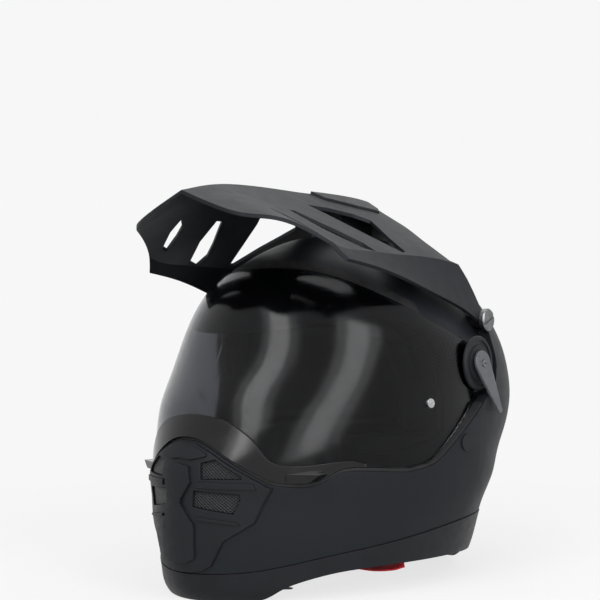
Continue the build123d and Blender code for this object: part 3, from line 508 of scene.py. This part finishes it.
# The pull tab's stripe as shares of its width, and how dark the painted shade in the grooves of its weave is
STRIPE_PLACE_SHARE = 0.28
STRIPE_HALF_SHARE = 0.12
TAB_PAINTED_GROOVE_SHADE = 0.85


def band_route(route, side=1):
    """Front-view points as a path in the strap's plane, on one side."""
    return [Vector((side * x, STRAP_Y, z)) for x, z in route]


# Sewn channels as planes, each a point and its normal
CHEEK_SEAMS = [((0, -0.045, 0), (0, 1, 0)), ((0, 0.005, 0), (0, 1, 0))]
CROWN_SEAMS = [((0.028, 0, 0), (1, 0, 0)), ((-0.028, 0, 0), (1, 0, 0)), ((0, 0, 0.150), (0, 0, 1))]
NECK_SEAMS = [((0.045, 0, 0), (1, 0.35, 0)), ((-0.045, 0, 0), (1, -0.35, 0))]

# The thin crown liner is meshed finer and swells less than the pads: mesh size, inset, swell
CROWN_FILLING = (0.0036, 0.0010, 0.0012)
CURTAIN_VOXEL = 0.0012
# Turns of smoothing that round a remeshed edge
PAD_SMOOTHING = 8
CURTAIN_SMOOTHING = 2
# How full a piece is, as a share
PAD_FILL = 0.7
LINER_FILL = 0.5

# The stage, in metres
FLOOR_HALF = 3.0
FLOOR_GAP = 0.0005
# The paper's glow covers its shading in part up to one distance and fully from another
SHADOW_REACH = 0.2
CLEAR_REACH = 0.7
SHADOW_GLOW = 0.8
LIT_POINT = (0.0, 0.0, 0.16)
OVERHEAD_PLACE = (0.0, 0.35, 1.5)
OVERHEAD_SIZE = (1.4, 1.2)
CAMERA_PLACE = (0.5538, -0.7239, 0.1721)
CAMERA_FACING = (-0.6262, 0.7807, 0.0443)
SENSOR_WIDTH = 36.0
# Each tall light is a narrow panel in front of a wide, dimmer one, so that its edges fade:
# name, place, width, height, share of the side power, lean in degrees
TALL_LIGHTS = [("front_panel", (0.28, -1.16, 1.08), 0.35, 1.7, 1.8, 24),
               ("front_screen", (0.285, -1.18, 1.1), 0.7, 1.9, 1.15, 24),
               ("side_panel", (1.34, -0.46, 0.65), 0.35, 1.5, 1.2, -18),
               ("side_screen", (1.36, -0.47, 0.66), 0.75, 1.6, 1.5, -18)]


# ---- Operators


class HELMET_OT_finish_shell(bpy.types.Operator):
    """Give the shell, the peak and the outer mouldings their finishes"""
    bl_idname = "helmet.finish_shell"
    bl_label = "Shell, peak and chin"

    def execute(self, context):
        finish = context.scene.helmet_finish
        finish_nodes(matt_lacquer(finish), "outer_shell", "peak")
        finish_nodes(grained_abs(finish), "bottom_trim", "chin_guard", "chin_centre_plate", "side_plugs",
                     "peak_outlet", "peak_duct", "peak_bosses", "pivot_covers", "pivot_hubs", "chin_shutter",
                     "nose_panel", "chin_ribs")
        finish_nodes(polished_abs(finish), "visor_rim", "visor_tabs", "buckle")
        finish_nodes(gasket_rubber(finish), "eyeport_gasket", "brow_gasket", "breath_deflector")
        finish_nodes(vent_gauze(finish), "vent_meshes")
        return {"FINISHED"}


class HELMET_OT_finish_visors(bpy.types.Operator):
    """Give the face visor and the sun visor their tinted polycarbonate"""
    bl_idname = "helmet.finish_visors"
    bl_label = "Visors"

    def execute(self, context):
        finish = context.scene.helmet_finish
        finish_nodes(tinted_polycarbonate("smoked_polycarbonate", finish.smoke[:], 0.12), "face_visor")
        finish_nodes(tinted_polycarbonate("dark_polycarbonate", finish.sun_tint[:], 0.02), "sun_visor")
        return {"FINISHED"}


class HELMET_OT_finish_hardware(bpy.types.Operator):
    """Give the screws, pins, lever and shafts their finishes"""
    bl_idname = "helmet.finish_hardware"
    bl_label = "Hardware"

    def execute(self, context):
        finish = context.scene.helmet_finish
        finish_nodes(turned_metal("turned_steel", finish.steel[:], 0.22, 0.34), "lens_pins",
                     "sun_visor_shaft", "sun_visor_pin", "buckle_release")
        finish_nodes(turned_metal("anodised_aluminium", finish.alloy[:], 0.3, 0.42), "peak_screws",
                     "lever_screw")
        finish_nodes(satin_nylon(finish), "sun_visor_lever", "pivot_cap")
        return {"FINISHED"}


class HELMET_OT_finish_foam(bpy.types.Operator):
    """Give the impact foam its beads"""
    bl_idname = "helmet.finish_foam"
    bl_label = "Impact foam"

    def execute(self, context):
        finish_nodes(expanded_foam(context.scene.helmet_finish), "crown_foam", "cheek_foams", "chin_foam")
        return {"FINISHED"}


class HELMET_OT_build_lining(bpy.types.Operator):
    """Build the comfort liner, the cheek pads and the neck roll as padded fabric"""
    bl_idname = "helmet.build_lining"
    bl_label = "Soft lining"

    def execute(self, context):
        lining = context.scene.helmet_lining
        cloth = brushed_jersey(lining)
        for side in ("left", "right"):
            soft_pad(f"cheek_pad_cover_{side}", f"cheek_pad_{side}", lining, cloth, CHEEK_SEAMS, PAD_FILL)
        soft_pad("comfort_liner_cover", "comfort_liner", lining, cloth, CROWN_SEAMS, LINER_FILL,
                 *CROWN_FILLING)
        soft_pad("neck_roll_cover", "neck_roll", lining, cloth, NECK_SEAMS, PAD_FILL)
        return {"FINISHED"}


class HELMET_OT_build_curtain(bpy.types.Operator):
    """Build the chin curtain as a thin, evenly remeshed sheet"""
    bl_idname = "helmet.build_curtain"
    bl_label = "Chin curtain"

    def execute(self, context):
        cloth = brushed_jersey(context.scene.helmet_lining)
        piece = even_copy("chin_curtain_cloth", "chin_curtain", CURTAIN_VOXEL, 0.0, CURTAIN_SMOOTHING)
        mesh = piece.data
        bpy.data.objects.remove(piece)
        keep_inside(mesh, "chin_curtain")
        curtain = new_piece("chin_curtain_cloth", mesh, cloth, "helmet")
        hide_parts("chin_curtain")
        return {"FINISHED"}


class HELMET_OT_build_straps(bpy.types.Operator):
    """Build the chin strap's webbing and the buckle's striped pull tab"""
    bl_idname = "helmet.build_straps"
    bl_label = "Straps"

    def execute(self, context):
        straps = context.scene.helmet_straps
        black = woven_webbing("black_polyester_webbing", straps.webbing[:])
        for side, node in ((1, "strap_left"), (-1, "strap_right")):
            mesh = band_mesh(node + "_webbing", band_route(STRAP_ROUTE, side), straps.strap_width,
                             straps.strap_thickness)
            strap = new_piece(node + "_webbing", mesh, black, "helmet")
            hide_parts(node)
        red = woven_webbing("red_polyester_webbing", straps.pull_red[:], straps.pull_stripe[:],
                            STRAP_Y + straps.tab_width * STRIPE_PLACE_SHARE,
                            straps.tab_width * STRIPE_HALF_SHARE, TAB_PAINTED_GROOVE_SHADE)
        mesh = band_mesh("pull_tab_webbing", band_route(TAB_ROUTE), straps.tab_width, straps.tab_thickness,
                         straps.tab_twist)
        tab = new_piece("pull_tab_webbing", mesh, red, "buckle_release")
        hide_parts("red_tab")
        return {"FINISHED"}


def plane_piece(name, corners, material):
    """Flat stage piece from four corners."""
    mesh = bpy.data.meshes.new(name)
    mesh.from_pydata([Vector(c) for c in corners], [], [(0, 1, 2, 3)])
    mesh.materials.append(material)
    piece = bpy.data.objects.new(name, mesh)
    bpy.context.scene.collection.objects.link(piece)
    return piece


def seen_rays(tree):
    """One for rays that show the background: straight from the camera, mirrored or through a visor."""
    rays = add_node(tree, "ShaderNodeLightPath")
    seen = rays.outputs["Is Camera Ray"]
    for kind in ("Is Glossy Ray", "Is Transmission Ray"):
        either = add_node(tree, "ShaderNodeMath", {0: seen, 1: rays.outputs[kind]}, operation="MAXIMUM")
        seen = either.outputs[0]
    return seen


def pale_paper(stage):
    """Seamless background paper: near white to the camera, with the object's shadow close to it."""
    material, tree, shader, place = start_material("background_paper", Roughness=0.9, Specular_IOR_Level=0.1)
    mottle(tree, shader, place, shade(stage.paper, 0.97), stage.paper[:], 0.4)
    seen = seen_rays(tree)
    glow = add_node(tree, "ShaderNodeEmission", {"Color": stage.paper[:], "Strength": 1.0})
    reach = add_node(tree, "ShaderNodeVectorMath", {0: place}, operation="LENGTH")
    clear = add_node(tree, "ShaderNodeMapRange", {"Value": reach.outputs["Value"], "From Min": SHADOW_REACH,
                                                   "From Max": CLEAR_REACH, "To Min": SHADOW_GLOW,
                                                   "To Max": 1.0})
    share = add_node(tree, "ShaderNodeMath", {0: seen, 1: clear.outputs["Result"]}, operation="MULTIPLY")
    blend = add_node(tree, "ShaderNodeMixShader", {"Fac": share.outputs[0], 1: shader.outputs[0],
                                                    2: glow.outputs[0]})
    output = next(n for n in tree.nodes if n.type == "OUTPUT_MATERIAL")
    tree.links.new(blend.outputs[0], output.inputs["Surface"])
    return material


def area_light(name, place, aim, width, height, power, lean=0.0):
    """Rectangular soft light that faces a point, leaning sideways by some degrees."""
    data = bpy.data.lights.new(name, "AREA")
    data.shape = "RECTANGLE"
    data.size, data.size_y = width, height
    data.energy = power
    light = bpy.data.objects.new(name, data)
    light.location = place
    light.rotation_mode = "QUATERNION"
    facing = (Vector(aim) - Vector(place)).to_track_quat("-Z", "Y")
    light.rotation_quaternion = facing @ Quaternion((0, 0, 1), math.radians(lean))
    bpy.context.scene.collection.objects.link(light)


class HELMET_OT_build_stage(bpy.types.Operator):
    """Set the pale floor, the soft lights and the camera"""
    bl_idname = "helmet.build_stage"
    bl_label = "Studio"

    def execute(self, context):
        stage = context.scene.helmet_stage
        paper = pale_paper(stage)
        corners = [(x * FLOOR_HALF, y * FLOOR_HALF, -FLOOR_GAP)
                   for x, y in ((-1, -1), (1, -1), (1, 1), (-1, 1))]
        plane_piece("floor", corners, paper)
        world = bpy.data.worlds.new("pale_room")
        world.use_nodes = True
        tree = world.node_tree
        back = next(n for n in tree.nodes if n.type == "BACKGROUND")
        level = add_node(tree, "ShaderNodeMapRange", {"Value": seen_rays(tree), "To Min": stage.world_level,
                                                      "To Max": 1.0})
        back.inputs["Color"].default_value = stage.paper[:]
        tree.links.new(level.outputs["Result"], back.inputs["Strength"])
        context.scene.world = world
        area_light("overhead", OVERHEAD_PLACE, LIT_POINT, *OVERHEAD_SIZE, stage.key_power)
        for name, place, width, height, share, lean in TALL_LIGHTS:
            area_light(name, place, LIT_POINT, width, height, stage.side_power * share, lean)
        data = bpy.data.cameras.new("camera")
        data.lens, data.sensor_width = stage.lens, SENSOR_WIDTH
        camera = bpy.data.objects.new("camera", data)
        camera.location = CAMERA_PLACE
        camera.rotation_mode = "QUATERNION"
        camera.rotation_quaternion = Vector(CAMERA_FACING).to_track_quat("-Z", "Y")
        context.scene.collection.objects.link(camera)
        context.scene.camera = camera
        context.scene.view_settings.view_transform = "Standard"
        return {"FINISHED"}


class HELMET_PT_pieces(bpy.types.Panel):
    """Buttons and values for the helmet's finishes and soft pieces"""
    bl_idname = "HELMET_PT_pieces"
    bl_label = "Helmet"
    bl_space_type = "VIEW_3D"
    bl_region_type = "UI"
    bl_category = "Helmet"

    def draw(self, context):
        layout = self.layout
        for operator in OPERATORS:
            layout.operator(operator.bl_idname)
        for name in GROUPS:
            group = getattr(context.scene, name)
            box = layout.box()
            for key in group.bl_rna.properties.keys():
                if key not in ("rna_type", "name"):
                    box.prop(group, key)


OPERATORS = (HELMET_OT_finish_shell, HELMET_OT_finish_visors, HELMET_OT_finish_hardware,
             HELMET_OT_finish_foam, HELMET_OT_build_lining, HELMET_OT_build_curtain,
             HELMET_OT_build_straps, HELMET_OT_build_stage)
GROUPS = {"helmet_finish": HelmetFinish, "helmet_lining": HelmetLining, "helmet_straps": HelmetStraps,
          "helmet_stage": HelmetStage}


def register():
    for name, group in GROUPS.items():
        bpy.utils.register_class(group)
        setattr(bpy.types.Scene, name, PointerProperty(type=group))
    for operator in OPERATORS:
        bpy.utils.register_class(operator)
    bpy.utils.register_class(HELMET_PT_pieces)


def unregister():
    bpy.utils.unregister_class(HELMET_PT_pieces)
    for operator in reversed(OPERATORS):
        bpy.utils.unregister_class(operator)
    for name, group in reversed(GROUPS.items()):
        delattr(bpy.types.Scene, name)
        bpy.utils.unregister_class(group)


def main():
    """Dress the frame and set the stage."""
    register()
    bpy.ops.helmet.finish_shell()
    bpy.ops.helmet.finish_visors()
    bpy.ops.helmet.finish_hardware()
    bpy.ops.helmet.finish_foam()
    bpy.ops.helmet.build_lining()
    bpy.ops.helmet.build_curtain()
    bpy.ops.helmet.build_straps()
    bpy.ops.helmet.build_stage()


if __name__ == "__main__":
    main()
